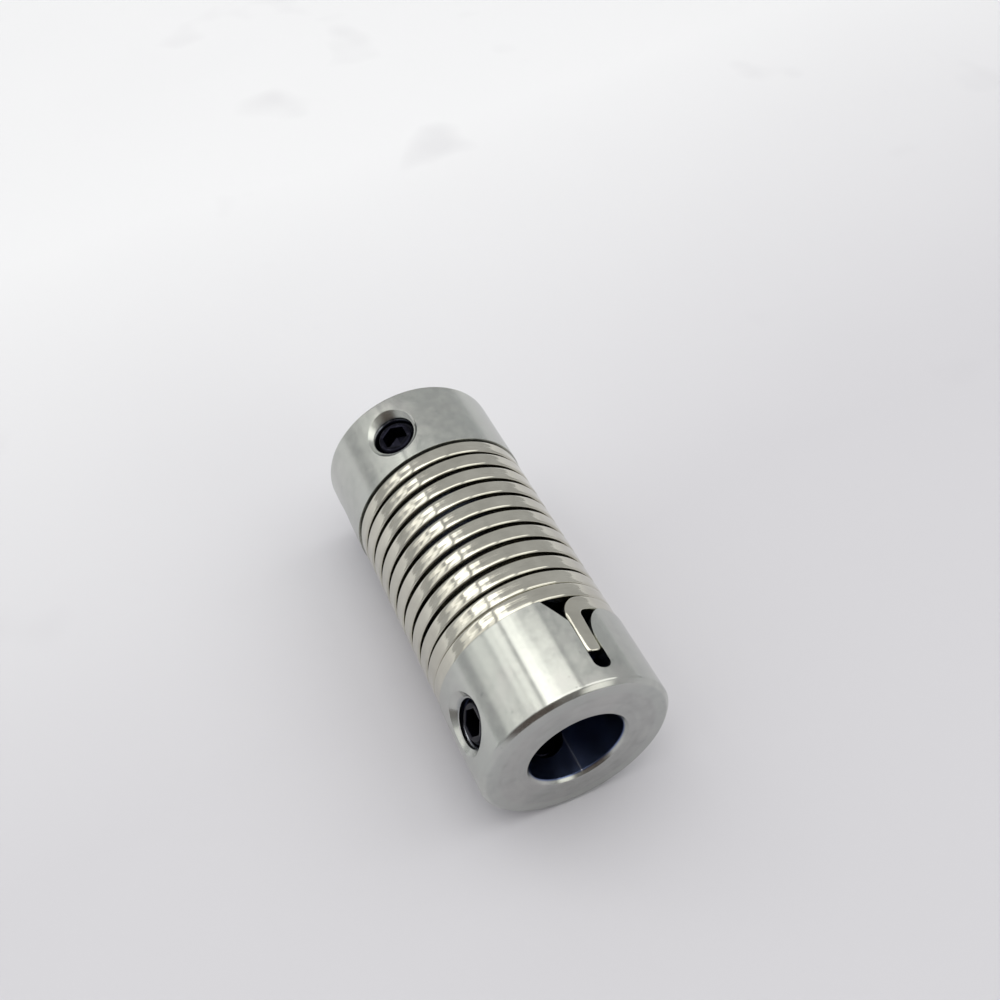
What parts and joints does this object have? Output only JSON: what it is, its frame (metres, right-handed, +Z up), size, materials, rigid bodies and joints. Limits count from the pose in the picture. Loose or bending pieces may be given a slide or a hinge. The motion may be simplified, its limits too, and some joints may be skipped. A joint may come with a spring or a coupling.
{
  "type": "wound-spring shaft coupling",
  "caption": "Flexible shaft coupling: two bored hubs joined by one close-wound flat-wire coil spring, each hub clamped to its shaft by radial set screws.",
  "frame": {"origin": "on the shaft axis, half-way between the two end faces", "axes": "+X along the shaft axis towards the driven hub, +Z up"},
  "size_m": [0.035, 0.016, 0.016],
  "materials": {
    "zinc_plated_steel": "satin clear zinc plating on turned steel",
    "nickel_plated_spring_steel": "bright nickel plating on drawn spring wire",
    "black_oxide_steel": "black oxide, lightly oiled"
  },
  "bodies": {
    "drive_hub": {"drive_hub": "zinc_plated_steel"},
    "spring": {"coil_spring": "nickel_plated_spring_steel"},
    "driven_hub": {"driven_hub": "zinc_plated_steel"},
    "driven_set_screw_a": {"driven_set_screw_a": "black_oxide_steel"},
    "driven_set_screw_b": {"driven_set_screw_b": "black_oxide_steel"},
    "drive_set_screw_a": {"drive_set_screw_a": "black_oxide_steel"},
    "drive_set_screw_b": {"drive_set_screw_b": "black_oxide_steel"}
  },
  "joints": [
    {"name": "coil_bend_sideways", "type": "hinge", "parent": "drive_hub", "child": "spring", "pos_m": [-0.00315, 0, 0], "axis": [0, 0, 1], "range_deg": [-3, 3], "stiffness_Nm_per_rad": 0.6, "deforming": ["coil_spring"]},
    {"name": "coil_bend_vertical", "type": "hinge", "parent": "spring", "child": "driven_hub", "pos_m": [0.00315, 0, 0], "axis": [0, 1, 0], "range_deg": [-3, 3], "stiffness_Nm_per_rad": 0.6, "deforming": ["coil_spring"]},
    {"name": "driven_screw_a_travel", "type": "slide", "parent": "driven_hub", "child": "driven_set_screw_a", "axis": [0, -0.9483, 0.3173], "range_m": [-0.00025, 0.0015]},
    {"name": "driven_screw_b_travel", "type": "slide", "parent": "driven_hub", "child": "driven_set_screw_b", "axis": [0, -0.3173, -0.9483], "range_m": [-0.00025, 0.0015]},
    {"name": "drive_screw_a_travel", "type": "slide", "parent": "drive_hub", "child": "drive_set_screw_a", "axis": [0, -0.9304, -0.3665], "range_m": [-0.00025, 0.0015]},
    {"name": "drive_screw_b_travel", "type": "slide", "parent": "drive_hub", "child": "drive_set_screw_b", "axis": [0, -0.3665, 0.9304], "range_m": [-0.00025, 0.0015]}
  ]
}
